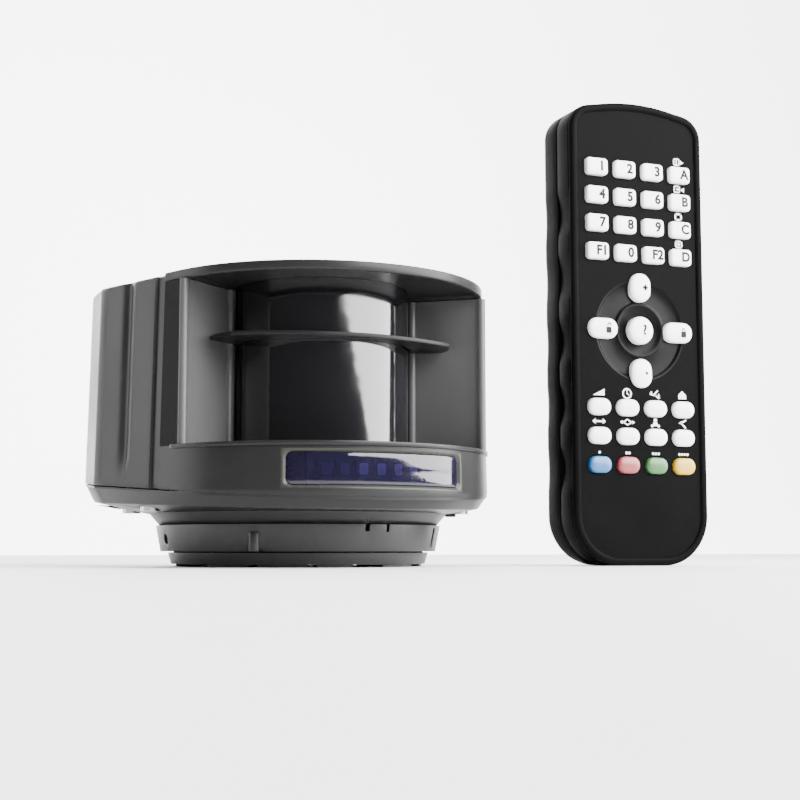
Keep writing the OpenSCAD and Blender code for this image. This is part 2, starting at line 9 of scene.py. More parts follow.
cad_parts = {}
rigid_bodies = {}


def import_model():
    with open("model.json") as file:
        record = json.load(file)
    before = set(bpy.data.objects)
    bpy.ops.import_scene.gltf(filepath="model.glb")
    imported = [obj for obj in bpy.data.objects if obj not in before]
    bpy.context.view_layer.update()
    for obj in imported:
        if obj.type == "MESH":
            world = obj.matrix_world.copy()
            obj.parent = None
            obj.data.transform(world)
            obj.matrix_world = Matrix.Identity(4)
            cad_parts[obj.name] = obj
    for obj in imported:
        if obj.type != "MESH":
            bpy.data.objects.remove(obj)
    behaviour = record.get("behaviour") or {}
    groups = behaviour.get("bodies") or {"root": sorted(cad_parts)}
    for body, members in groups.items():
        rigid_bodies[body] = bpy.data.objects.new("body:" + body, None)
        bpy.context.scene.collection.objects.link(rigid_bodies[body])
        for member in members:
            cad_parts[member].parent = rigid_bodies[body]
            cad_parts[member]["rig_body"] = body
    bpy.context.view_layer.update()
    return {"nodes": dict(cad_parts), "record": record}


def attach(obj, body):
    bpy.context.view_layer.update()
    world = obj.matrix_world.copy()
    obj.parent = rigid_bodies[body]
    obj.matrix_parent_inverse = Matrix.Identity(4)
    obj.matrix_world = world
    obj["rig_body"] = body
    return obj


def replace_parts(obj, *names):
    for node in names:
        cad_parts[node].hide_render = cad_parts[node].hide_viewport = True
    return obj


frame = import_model()
MM = 0.001

# ---------- camera ----------

LENS = 65.25
SENSOR = 36.0
CAMERA_AT = Vector((-0.1408, -0.4328, 0.00505))
HEADING = math.radians(22.0)
PITCH = math.radians(5.9)


def make_camera():
    data = bpy.data.cameras.new("camera")
    data.lens = LENS
    data.sensor_width = SENSOR
    data.clip_start = 0.01
    data.clip_end = 20.0
    data.dof.use_dof = False
    camera = bpy.data.objects.new("camera", data)
    bpy.context.scene.collection.objects.link(camera)
    aim = Vector((math.sin(HEADING) * math.cos(PITCH),
                  math.cos(HEADING) * math.cos(PITCH),
                  math.sin(PITCH)))
    camera.rotation_euler = aim.to_track_quat("-Z", "Y").to_euler()
    camera.location = CAMERA_AT
    bpy.context.scene.camera = camera


make_camera()

# ---------- sizes shared with the CAD, in millimetres ----------

HALF_W = 62.5
NOSE_R = 51.4
NOSE_Y = -14.2
WINDOW_Y = -19.8
LEDGE_Z = 34.4
SHELL_TOP = 81.2
LAMP_Z = 21.9
LAMP_H = 10.0
LAMP_MID = 3.0
LAMP_HALF = 30.0

HAND_X = 103.5
HAND_Y = -34.2
HAND_L = 150.0
HAND_HALF = 24.5
HAND_T = 20.6
RIM_W = 2.6
PANEL_V = 0.7
TOP_CORNER = 8.0
LOW_CORNER = 16.0
ARCH = 2.0
GRIP_R = 24.0
GRIP_DEPTH = 1.1
GRIP_Z = [30.5 + 20.5 * k for k in range(5)]
DOOR_HALF = 15.0
DOOR_Z1 = 64.0
HAND_SCREWS = [(-15, 68.4), (15, 68.4), (-15, 139), (15, 139), (-19, 20), (19, 20)]
EMITTERS = (-6.0, 6.0)
EMITTER_V = 7.72

KEY_DX = 10.3
KEY_DZ = 9.17
KEY_OFF = 0.3
ROW_TOP = 127.6
NAV_Z = 75.2
NAV_REACH = 13.9
ROW_FN = 50.1
KEY_TOP_V = -0.8
KEY_FOOT_V = 3.2
PRINT_T = 0.02

# ---------- shader building ----------


def add_node(tree, kind, sockets=None, **settings):
    made = tree.nodes.new(kind)
    for key, value in settings.items():
        setattr(made, key, value)
    for key, value in (sockets or {}).items():
        made.inputs[key].default_value = value
    return made


def start_material(name):
    material = bpy.data.materials.new(name)
    material.use_nodes = True
    tree = material.node_tree
    tree.nodes.clear()
    out = add_node(tree, "ShaderNodeOutputMaterial")
    shader = add_node(tree, "ShaderNodeBsdfPrincipled")
    tree.links.new(shader.outputs["BSDF"], out.inputs["Surface"])
    place = add_node(tree, "ShaderNodeTexCoord")
    return material, tree, shader, place.outputs["Object"]


def noise(tree, place, scale, detail=2.0, roughness=0.5):
    made = add_node(tree, "ShaderNodeTexNoise",
                    {"Scale": scale, "Detail": detail, "Roughness": roughness})
    tree.links.new(place, made.inputs["Vector"])
    return made.outputs["Fac"]


def spread(tree, value, low, high):
    made = add_node(tree, "ShaderNodeMapRange",
                    {"From Min": 0.3, "From Max": 0.7, "To Min": low, "To Max": high})
    tree.links.new(value, made.inputs["Value"])
    return made.outputs["Result"]


def two_tone(tree, value, first, second):
    made = add_node(tree, "ShaderNodeMix", data_type="RGBA")
    made.inputs[6].default_value = (*first, 1)
    made.inputs[7].default_value = (*second, 1)
    tree.links.new(value, made.inputs[0])
    return made.outputs[2]


def bump(tree, height, distance, strength=1.0, under=None):
    made = add_node(tree, "ShaderNodeBump", {"Distance": distance, "Strength": strength})
    tree.links.new(height, made.inputs["Height"])
    if under is not None:
        tree.links.new(under, made.inputs["Normal"])
    return made.outputs["Normal"]


MOULD_TONE = 55.0
MOULD_WAVE = 150.0
WAVE_DEPTH = 0.00004


def plastic(name, first, second, rough, grain=3200.0, depth=0.00002, coat=0.0, specular=0.5):
    """A moulded plastic: uneven tone and gloss, and the fine grain of the mould."""
    material, tree, shader, place = start_material(name)
    broad = noise(tree, place, MOULD_TONE, 3.0)
    fine = noise(tree, place, grain, 2.0, 0.6)
    tree.links.new(two_tone(tree, broad, first, second), shader.inputs["Base Color"])
    tree.links.new(spread(tree, broad, rough - 0.04, rough + 0.04), shader.inputs["Roughness"])
    wave = bump(tree, noise(tree, place, MOULD_WAVE, 1.0), WAVE_DEPTH)
    tree.links.new(bump(tree, fine, depth, 1.0, wave), shader.inputs["Normal"])
    shader.inputs["Coat Weight"].default_value = coat
    shader.inputs["Coat Roughness"].default_value = 0.1
    shader.inputs["Specular IOR Level"].default_value = specular
    return material


def metal(name, first, second, rough, stretch=(1, 1, 1), grain=1500.0, depth=0.00001):
    """A bare or plated metal with the fine lines that its making left."""
    material, tree, shader, place = start_material(name)
    mapping = add_node(tree, "ShaderNodeMapping", {"Scale": stretch})
    tree.links.new(place, mapping.inputs["Vector"])
    lines = noise(tree, mapping.outputs["Vector"], grain, 3.0)
    tree.links.new(two_tone(tree, lines, first, second), shader.inputs["Base Color"])
    tree.links.new(spread(tree, lines, rough - 0.06, rough + 0.1), shader.inputs["Roughness"])
    tree.links.new(bump(tree, lines, depth), shader.inputs["Normal"])
    shader.inputs["Metallic"].default_value = 1.0
    return material


def board_material(name):
    """Green solder mask over copper tracks, with bright pads."""
    material, tree, shader, place = start_material(name)
    tracks = add_node(tree, "ShaderNodeTexVoronoi", {"Scale": 320.0}, distance="MANHATTAN")
    tree.links.new(place, tracks.inputs["Vector"])
    pads = add_node(tree, "ShaderNodeMapRange",
                    {"From Min": 0.05, "From Max": 0.09, "To Min": 1.0, "To Max": 0.0})
    tree.links.new(tracks.outputs["Distance"], pads.inputs["Value"])
    weave = noise(tree, place, 900.0, 2.0)
    green = two_tone(tree, weave, (0.008, 0.06, 0.03), (0.02, 0.14, 0.06))
    mix = add_node(tree, "ShaderNodeMix", data_type="RGBA")
    mix.inputs[7].default_value = (0.75, 0.7, 0.55, 1)
    tree.links.new(pads.outputs["Result"], mix.inputs[0])
    tree.links.new(green, mix.inputs[6])
    tree.links.new(mix.outputs[2], shader.inputs["Base Color"])
    tree.links.new(pads.outputs["Result"], shader.inputs["Metallic"])
    tree.links.new(bump(tree, tracks.outputs["Distance"], 0.00008), shader.inputs["Normal"])
    shader.inputs["Roughness"].default_value = 0.35
    return material


def jacket_material(name):
    """A cell's printed sleeve: dark body with a copper-coloured band at its upper end."""
    material, tree, shader, place = start_material(name)
    split = add_node(tree, "ShaderNodeSeparateXYZ")
    tree.links.new(place, split.inputs["Vector"])
    band = add_node(tree, "ShaderNodeMapRange",
                    {"From Min": 0.0465, "From Max": 0.047, "To Min": 0.0, "To Max": 1.0})
    tree.links.new(split.outputs["Z"], band.inputs["Value"])
    film = noise(tree, place, 400.0, 2.0)
    mix = add_node(tree, "ShaderNodeMix", data_type="RGBA")
    tree.links.new(band.outputs["Result"], mix.inputs[0])
    tree.links.new(two_tone(tree, film, (0.01, 0.01, 0.012), (0.03, 0.03, 0.035)), mix.inputs[6])
    tree.links.new(two_tone(tree, film, (0.55, 0.3, 0.1), (0.7, 0.42, 0.16)), mix.inputs[7])
    tree.links.new(mix.outputs[2], shader.inputs["Base Color"])
    tree.links.new(spread(tree, film, 0.22, 0.34), shader.inputs["Roughness"])
    tree.links.new(band.outputs["Result"], shader.inputs["Metallic"])
    return material


def lens_material(name):
    """Tinted translucent plastic of the lamp window, with flow lines from the moulding."""
    material, tree, shader, place = start_material(name)
    flow = noise(tree, place, 120.0, 3.0)
    tree.links.new(two_tone(tree, flow, (0.022, 0.018, 0.055), (0.034, 0.026, 0.08)),
                   shader.inputs["Base Color"])
    tree.links.new(spread(tree, flow, 0.05, 0.1), shader.inputs["Roughness"])
    tree.links.new(bump(tree, noise(tree, place, 500.0, 1.0), 0.00002), shader.inputs["Normal"])
    shader.inputs["Transmission Weight"].default_value = 0.8
    shader.inputs["IOR"].default_value = 1.5
    return material


def glow_material(name, colour, strength):
    """A lamp's small bright face."""
    material, tree, shader, place = start_material(name)
    grain = noise(tree, place, 2500.0, 2.0)
    tone = two_tone(tree, grain, colour, tuple(c * 0.94 for c in colour))
    tree.links.new(tone, shader.inputs["Base Color"])
    tree.links.new(tone, shader.inputs["Emission Color"])
    shader.inputs["Emission Strength"].default_value = strength
    shader.inputs["Roughness"].default_value = 0.3
    return material


MATERIALS = {
    "housing_plastic": plastic("housing_plastic", (0.011, 0.011, 0.0115), (0.016, 0.016, 0.0165), 0.32,
                             specular=0.16),
    # A darker copy of the housing plastic for the pillars' outer wall: painted shade
    "pillar_plastic": plastic("pillar_plastic", (0.006, 0.006, 0.0065), (0.009, 0.009, 0.0095), 0.4,
                              specular=0.03),
    # A lighter copy of the housing plastic for the beads, cheeks and ribs: painted light
    "cheek_plastic": plastic("cheek_plastic", (0.05, 0.05, 0.051), (0.062, 0.062, 0.063), 0.34,
                             specular=0.3),
    "handset_gloss": plastic("handset_gloss", (0.002, 0.002, 0.0022), (0.003, 0.003, 0.0032), 0.28,
                             2600.0, 0.00001, specular=0.05),
    "bracket_plastic": plastic("bracket_plastic", (0.012, 0.012, 0.0125), (0.018, 0.018, 0.0185), 0.36,
                             specular=0.3),
    "fin_plastic": plastic("fin_plastic", (0.006, 0.006, 0.0065), (0.01, 0.01, 0.0105), 0.35,
                         specular=0.12),
    "window_plastic": plastic("window_plastic", (0.003, 0.003, 0.004), (0.006, 0.006, 0.007), 0.06,
                              400.0, 0.000002, 0.35, 0.6),
    "lamp_lens": lens_material("lamp_lens"),
    "circuit_board": board_material("circuit_board"),
    "motor_metal": metal("motor_metal", (0.3, 0.3, 0.32), (0.45, 0.45, 0.47), 0.3, (1, 1, 8)),
    "rotor_metal": metal("rotor_metal", (0.5, 0.5, 0.52), (0.65, 0.65, 0.67), 0.22, (1, 1, 8)),
    "mirror_face": metal("mirror_face", (0.82, 0.83, 0.86), (0.9, 0.9, 0.93), 0.08, (1, 1, 1), 600.0,
                         0.000001),
    "optics_block": metal("optics_block", (0.06, 0.06, 0.07), (0.12, 0.12, 0.14), 0.4, (6, 1, 1)),
    "gland_plastic": plastic("gland_plastic", (0.02, 0.02, 0.021), (0.03, 0.03, 0.032), 0.4),
    "screw_steel": metal("screw_steel", (0.42, 0.42, 0.44), (0.6, 0.6, 0.62), 0.28, (1, 1, 6)),
    "handset_plastic": plastic("handset_plastic", (0.0022, 0.0022, 0.0024), (0.0035, 0.0035, 0.0037),
                               0.42, 2600.0, 0.00003, specular=0.012),
    "mat_rubber": plastic("mat_rubber", (0.12, 0.12, 0.125), (0.18, 0.18, 0.185), 0.7),
    "cell_jacket": jacket_material("cell_jacket"),
    "contact_metal": metal("contact_metal", (0.65, 0.64, 0.6), (0.8, 0.79, 0.76), 0.2, (1, 6, 1)),
    "key_white": plastic("key_white", (0.9, 0.9, 0.905), (0.94, 0.94, 0.94), 0.2, 1800.0, 0.000004,
                         0.4),
    "key_blue": plastic("key_blue", (0.014, 0.09, 0.22), (0.018, 0.1, 0.25), 0.3, 1800.0, 0.000004),
    "key_red": plastic("key_red", (0.22, 0.04, 0.045), (0.25, 0.05, 0.055), 0.3, 1800.0, 0.000004),
    "key_green": plastic("key_green", (0.025, 0.1, 0.025), (0.03, 0.12, 0.03), 0.3, 1800.0, 0.000004),
    "key_yellow": plastic("key_yellow", (0.5, 0.3, 0.012), (0.54, 0.33, 0.016), 0.3, 1800.0, 0.000004),
    "dark_print": plastic("dark_print", (0.008, 0.008, 0.009), (0.015, 0.015, 0.016), 0.6, 2200.0,
                          0.000004, specular=0.1),
    "light_print": plastic("light_print", (0.78, 0.78, 0.78), (0.86, 0.86, 0.86), 0.5, 2200.0,
                           0.000004),
    "lamp_glow": glow_material("lamp_glow", (0.5, 0.45, 0.9), 0.06),
    "lamp_dim": glow_material("lamp_dim", (0.12, 0.12, 0.3), 0.05),
    "lamp_bezel": plastic("lamp_bezel", (0.02, 0.02, 0.017), (0.03, 0.03, 0.025), 0.3,
                          specular=0.2),
    "wall_light": glow_material("wall_light", (1.0, 1.0, 1.0), 4.0),
    "floor_paint": plastic("floor_paint", (0.86, 0.86, 0.86), (0.88, 0.88, 0.88), 0.6, 300.0,
                           0.000005),
}

# ---------- mesh building, all lengths in millimetres ----------


def make_object(name, points, faces, slot, body, smooth=35.0):
    mesh = bpy.data.meshes.new(name)
    mesh.from_pydata([Vector(p) * MM for p in points], [], faces)
    mesh.validate()
    shaped = bmesh.new()
    shaped.from_mesh(mesh)
    bmesh.ops.remove_doubles(shaped, verts=shaped.verts, dist=1e-6)
    bmesh.ops.recalc_face_normals(shaped, faces=shaped.faces)
    shaped.to_mesh(mesh)
    shaped.free()
    return finish_object(name, mesh, slot, body, smooth)


def finish_object(name, mesh, slot, body, smooth=35.0):
    mesh.materials.clear()
    mesh.materials.append(MATERIALS[slot])
    mesh.polygons.foreach_set("use_smooth", [True] * len(mesh.polygons))
    mesh.set_sharp_from_angle(angle=math.radians(smooth))
    made = bpy.data.objects.new(name, mesh)
    bpy.context.scene.collection.objects.link(made)
    if body is not None:
        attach(made, body)
    return made


def ring_faces(rings, closed=True):
    """Quads between rings that all have the same number of points."""
    count = len(rings[0])
    span = count if closed else count - 1
    faces = []
    for level in range(len(rings) - 1):
        low = level * count
        for k in range(span):
            near = low + k
            far = low + (k + 1) % count
            faces.append((near, far, far + count, near + count))
    return faces


def loft(name, rings, slot, body, cap_first=False, cap_last=False, smooth=35.0):
    points = [p for ring in rings for p in ring]
    faces = ring_faces(rings)
    count = len(rings[0])
    if cap_first:
        faces.append(tuple(range(count)))
    if cap_last:
        faces.append(tuple(range(len(points) - count, len(points))))
    return make_object(name, points, faces, slot, body, smooth)


def soft_copy(node_name, width, slot, limit=30.0, steps=3):
    """The CAD sub-part with its sharp edges rounded, as they come from a mould."""
    source = frame["nodes"][node_name]
    shaped = bmesh.new()
    shaped.from_mesh(source.data)
    bmesh.ops.remove_doubles(shaped, verts=shaped.verts, dist=3e-6)
    bmesh.ops.dissolve_limit(shaped, angle_limit=math.radians(0.8), verts=shaped.verts,
                             edges=shaped.edges)
    sharp = [e for e in shaped.edges
             if len(e.link_faces) == 2 and e.calc_face_angle(0) > math.radians(limit)]
    bmesh.ops.bevel(shaped, geom=sharp, offset=width * MM, offset_type="OFFSET", segments=steps,
                    profile=0.5, affect="EDGES", clamp_overlap=False, loop_slide=True)
    mesh = bpy.data.meshes.new("soft_" + node_name)
    shaped.to_mesh(mesh)
    shaped.free()
    made = finish_object("soft_" + node_name, mesh, slot, source["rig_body"])
    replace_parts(made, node_name)
    return made


def rounded(w, h, r, grow=0.0, steps=7):
    """A rectangle with round corners as (x, z) points, grown by grow."""
    r = min(r, w / 2, h / 2)
    corner = max(r + grow, 0.05)
    points = []
    for sx, sz, start in ((1, -1, -90), (1, 1, 0), (-1, 1, 90), (-1, -1, 180)):
        for k in range(steps):
            q = math.radians(start + 90 * k / (steps - 1))
            points.append((sx * (w / 2 - r) + corner * math.cos(q),
                           sz * (h / 2 - r) + corner * math.sin(q)))
    return points


# ---------- sensor ----------

SOFT_PARTS = [
    ("mounting_base", 0.25, "bracket_plastic"),
    ("swivel_collar", 0.1, "bracket_plastic"),
    ("lower_case", 0.5, "housing_plastic"),
    ("top_cover", 0.5, "housing_plastic"),
    ("window_fin", 0.3, "fin_plastic"),
]
for part, edge, finish in SOFT_PARTS:
    soft_copy(part, edge, finish)

# ---------- sensor: front case, lens and beads ----------

FLANK = math.radians(23.5)
ARC_END = 66.5
SEAM_Y = -28.0
MOUTH_X = 45.0
MOUTH_Y = -36.0
CHEEK_X = 26.7
CHEEK_Y = -20.4
EDGE_RISE = math.tan(math.radians(4.15))
DRAFT = 1.3
HOUSING_TOP = 84.0
DRAFT_H = 63.6
EDGE_Y = -50.0
EDGE_Z = 20.4
LIP_Y = -14.6
LIP_R = 52.78


def drafted(z):
    """How far the wall stands out at that height, since it leans in towards the lid."""
    return DRAFT * (HOUSING_TOP - z) / DRAFT_H


def plan_point(angle, z, depth=0.0):
    """A point of the outer wall at that angle off the front; past the nose it runs along the flank."""
    grow = drafted(z) - depth
    side = 1 if angle >= 0 else -1
    bent = min(abs(angle), ARC_END)
    q = math.radians(bent)
    r = NOSE_R + grow
    x = r * math.sin(q)
    y = NOSE_Y - r * math.cos(q)
    run = max(0.0, abs(angle) - ARC_END)
    x += run * math.sin(FLANK)
    y += run * math.cos(FLANK)
    return (side * x, y, z)


def edge_height(y):
    """Height of the walls' lower edge, which climbs to the rear."""
    return EDGE_Z + (y - EDGE_Y) * EDGE_RISE


SEAM_RUN = (SEAM_Y - (NOSE_Y - NOSE_R * math.cos(math.radians(ARC_END)))) / math.cos(FLANK)
SEAM_ANGLE = ARC_END + SEAM_RUN - 0.6
LENS_HALF = LAMP_HALF + 1.3
LENS_ROW = 4
BAND_Z = 24.0
LENS_LOW = LAMP_Z - 0.45
LENS_TOP = LAMP_Z + LAMP_H + 0.45
BAND_ARC = math.radians(1) * (NOSE_R + drafted(LAMP_Z + LAMP_H / 2))


def spaced(a, b, count):
    return [a + (b - a) * k / count for k in range(count + 1)]


def build_band():
    """The wall under the ledge, with the lens opening left out."""
    columns = spaced(-SEAM_ANGLE, -ARC_END, 5)[:-1] + spaced(-ARC_END, LAMP_MID - LENS_HALF, 24)[:-1]
    first = len(columns)
    columns += spaced(LAMP_MID - LENS_HALF, LAMP_MID + LENS_HALF, 40)
    last = len(columns) - 1
    columns += spaced(LAMP_MID + LENS_HALF, ARC_END, 20)[1:] + spaced(ARC_END, SEAM_ANGLE, 5)[1:]
    points = []
    for angle in columns:
        y = plan_point(angle, BAND_Z)[1]
        low = edge_height(y)
        levels = [(low, 1.4), (low, 0.45), (low + 0.12, 0.12), (low + 0.45, 0.0),
                  (max(LENS_LOW, low + 0.9), 0.0), (max(LENS_TOP, low + 4), 0.0), (LEDGE_Z, 0.0)]
        points += [plan_point(angle, z, depth) for z, depth in levels]
    rows = len(levels)
    faces = []
    for c in range(len(columns) - 1):
        for r in range(rows - 1):
            if r == LENS_ROW and first <= c < last:
                continue
            a = c * rows + r
            faces.append((a, a + rows, a + rows + 1, a + 1))
    return make_object("front_band", points, faces, "housing_plastic", "housing", 40.0)


def lens_loop(half_u, half_z, corner, depth):
    """A rounded rectangle laid on the nose, with points all along its straight edges."""
    steps = 10
    middle = LAMP_Z + LAMP_H / 2
    outline = rounded(2 * half_u, 2 * half_z, corner, 0.0, steps)
    dense = []
    for k, (u, v) in enumerate(outline):
        dense.append((u, v))
        if k % steps == steps - 1:
            ahead = outline[(k + 1) % len(outline)]
            count = 48 if k // steps in (1, 3) else 4
            for m in range(1, count):
                dense.append((u + (ahead[0] - u) * m / count, v + (ahead[1] - v) * m / count))
    return [plan_point(LAMP_MID + u / BAND_ARC, middle + v, depth) for u, v in dense]


LENS_U = LENS_HALF * BAND_ARC
build_band()
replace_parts(bpy.data.objects["front_band"], "front_case")
FRAME_LOOPS = [(LENS_U, 5.45, 0.06, 0.0), (LENS_U - 0.45, 5.15, 1.6, 0.0),
               (LENS_U - 0.65, 5.0, 1.8, 0.08), (LENS_U - 1.05, 4.65, 1.9, 0.55),
               (LENS_U - 1.25, 4.5, 1.9, 0.7), (LENS_U - 1.3, 4.45, 1.9, 2.0)]
loft("lamp_frame", [lens_loop(*values) for values in FRAME_LOOPS], "lamp_bezel", "housing")
LENS_LOOPS = [(LENS_U - 1.35, 4.4, 1.85, 1.9), (LENS_U - 1.35, 4.4, 1.85, 0.75),
              (LENS_U - 1.5, 4.25, 1.7, 0.6), (LENS_U - 1.8, 4.0, 1.5, 0.55),
              (LENS_U - 3.0, 3.0, 1.2, 0.52), (LENS_U - 4.0, 2.0, 0.9, 0.5),
              (LENS_U - 5.0, 1.0, 0.5, 0.5), (LENS_U - 5.9, 0.1, 0.05, 0.5)]
lens = loft("lamp_lens_piece", [lens_loop(*values) for values in LENS_LOOPS], "lamp_lens", "housing",
            False, True, 50.0)
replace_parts(lens, "lamp_window")

# The lamps' bright faces behind the lens
LAMPS_EACH_WAY = 3
LAMP_STEP = 5.4
LAMP_FACE_DEPTH = 3.2
LAMP_BACK_DEPTH = 3.6
BRIGHT_LAMPS = (-1, 0, 1, 2)
for index in range(-LAMPS_EACH_WAY, LAMPS_EACH_WAY + 1):
    finish = "lamp_glow" if index in BRIGHT_LAMPS else "lamp_dim"
    angle = LAMP_MID + index * LAMP_STEP / BAND_ARC
    middle = LAMP_Z + LAMP_H / 2
    face = []
    for du, dz in rounded(2.6, 3.2, 0.6):
        face.append(plan_point(angle + du / BAND_ARC, middle + dz, LAMP_FACE_DEPTH))
    back = [plan_point(angle, middle, LAMP_BACK_DEPTH) for _ in face]
    loft("lamp_face_%d" % (index + LAMPS_EACH_WAY), [face, back], finish, "housing", True, False)


def smooth(value, low, high):
    """0 up to low and 1 from high on, with a soft climb between."""
    t = min(1.0, max(0.0, (value - low) / (high - low)))
    return t * t * (3 - 2 * t)


LIP_SWEEP = math.acos((LIP_Y - SEAM_Y) / LIP_R)
LIP_FADE = 1.6
LEDGE_IN_R = 23.5
LEDGE_IN_SWEEP = math.radians(77)


def build_ledge():
    """The ledge under the window, a crescent with a thin rounded lip."""
    levels = [(LEDGE_Z, -1.0, LEDGE_IN_R), (LEDGE_Z, 0.35, None), (LEDGE_Z - 0.08, 0.1, None),
              (LEDGE_Z - 0.3, 0.0, None), (LEDGE_Z - 1.0, 0.0, None), (LEDGE_Z - 1.22, 0.1, None),
              (LEDGE_Z - 1.3, 0.35, None), (LEDGE_Z - 1.3, 0.0, LEDGE_IN_R)]
    rings = []
    for z, inset, radius in levels:
        ring = []
        for k in range(97):
            share = -1 + 2 * k / 96
            if radius:
                q = LEDGE_IN_SWEEP * share
                ring.append((radius * math.sin(q), WINDOW_Y - radius * math.cos(q), z))
            else:
                q = LIP_SWEEP * share
                r = LIP_R - inset - LIP_FADE * smooth(abs(share), 0.88, 1.0)
                ring.append((r * math.sin(q), LIP_Y - r * math.cos(q), z))
        rings.append(ring)
    points = [p for ring in rings for p in ring]
    return make_object("ledge_lip", points, ring_faces(rings, False), "housing_plastic", "housing",
                       40.0)


build_ledge()


WALL_ANGLE = 65.2
BEAD_R = 1.35
BEAD_AT = (MOUTH_X + 1.2, MOUTH_Y + 0.1)
RIB_AT = (28.9, -22.3)
RIB_LONG = 1.3
RIB_OUT = 1.15
PILLAR_IN_X = 49.0
OUTER_POINTS = 9


def side_wall(side):
    """A pillar beside the recess: the outer wall, then the bead at the mouth, the cheek and its rib."""
    along = Vector((CHEEK_X - MOUTH_X, CHEEK_Y - MOUTH_Y)).normalized()
    out = Vector((-along.y, along.x))
    if out.y > 0:
        out = -out
    rings = []
    levels = [LEDGE_Z - 0.4, 50.0, 66.0, SHELL_TOP - 0.3, SHELL_TOP]
    for z in levels:
        outline = []
        for k in range(OUTER_POINTS):
            angle = SEAM_ANGLE + (WALL_ANGLE - SEAM_ANGLE) * k / (OUTER_POINTS - 1)
            x, y, _ = plan_point(angle, z, 0.0)
            outline.append((x, y))
        for k in range(13):
            q = math.radians(-20 - k * 12.5)
            outline.append((BEAD_AT[0] + BEAD_R * math.cos(q), BEAD_AT[1] + BEAD_R * math.sin(q)))
        start = Vector((MOUTH_X, MOUTH_Y)) + along * 1.1
        reach = (Vector(RIB_AT) - start).dot(along)
        for k in range(7):
            p = start + along * (reach - 1.6) * k / 6
            outline.append((p.x, p.y))
        base = start + along * reach
        for k in range(9):
            q = math.pi * k / 8
            p = base - along * RIB_LONG * math.cos(q) + out * RIB_OUT * math.sin(q)
            outline.append((p.x, p.y))
        outline += [(CHEEK_X, CHEEK_Y), (CHEEK_X, CHEEK_Y + 2.6), (CHEEK_X + 2.2, CHEEK_Y + 2.6),
                    (MOUTH_X + 1.6, MOUTH_Y + 2.8), (PILLAR_IN_X, SEAM_Y)]
        rings.append([(side * x, y, z) for x, y in outline])
    end = "left" if side < 0 else "right"
    outer = [ring[:OUTER_POINTS + 1] for ring in rings]
    inner = [ring[OUTER_POINTS:] + ring[:1] for ring in rings]
    # The outer wall takes the darker copy of the housing plastic as painted shade; the bead, cheek and
    # rib take the lighter copy as painted light
    for name, part, material in (("side_wall_", outer, "pillar_plastic"),
                                 ("cheek_", inner, "cheek_plastic")):
        points = [p for ring in part for p in ring]
        make_object(name + end, points, ring_faces(part, False), material, "housing", 32.0)


side_wall(-1)
side_wall(1)

# ---------- sensor: rear case ----------

SIDE_Y = 0.66
BACK_Y = 33.0
CORNER_R = 19.0
CORNER_Y = BACK_Y - CORNER_R
STRAIGHT_Y = SIDE_Y + 2.5
FLANK_LONG = (SIDE_Y - SEAM_Y) / math.cos(FLANK)
CHANNEL_W = 4.2
CHANNEL_D = 0.9
GROOVE_AT = 17.2
GROOVE_D = 0.95
GROOVE_W = 1.5
GROOVE_FADE = (24.5, 33.0)
SEAM_RETURN = 2.4
WALL = 2.2


def rear_half():
    """The right half of the rear shell's plan: (x, y, normal x, normal y, run from the seam)."""
    found = []
    steps = [0.0, 0.25, 0.5, 1.0, 2.0, 3.2, 3.7, 3.95, 4.2, 4.7, 6.0, 8.0, 10.0, 12.0]
    steps += spaced(13.0, 21.5, 17) + [23.0, 25.0, 26.5, 27.3]
    nx, ny = math.cos(FLANK), -math.sin(FLANK)
    for run in steps:
        y = SEAM_Y + run * math.cos(FLANK)
        x = HALF_W - (SIDE_Y - y) * math.tan(FLANK)
        found.append((x, y, nx, ny, run))
    for k in range(1, 6):
        q = FLANK * (1 - k / 5)
        found.append((HALF_W, SIDE_Y + 0.5 * k, math.cos(q), -math.sin(q), FLANK_LONG + k))
    for k in range(1, 8):
        found.append((HALF_W, STRAIGHT_Y + (CORNER_Y - STRAIGHT_Y) * k / 7, 1, 0, 40 + k))
    for k in range(1, 17):
        q = math.radians(90 * k / 16)
        found.append((HALF_W - CORNER_R + CORNER_R * math.cos(q), CORNER_Y + CORNER_R * math.sin(q),
                      math.cos(q), math.sin(q), 60 + k))
    for k in range(1, 9):
        found.append(((HALF_W - CORNER_R) * (1 - k / 8), BACK_Y, 0, 1, 90 + k))
    return found


def rear_depth(run, z):
    """How deep the channel behind the seam and the soft groove are cut at that place."""
    channel = CHANNEL_D * (1 - smooth(run, CHANNEL_W - 0.5, CHANNEL_W + 0.1))
    away = (run - GROOVE_AT) / GROOVE_W
    groove = GROOVE_D * math.exp(-away * away / 2) * smooth(z, *GROOVE_FADE)
    return channel + groove


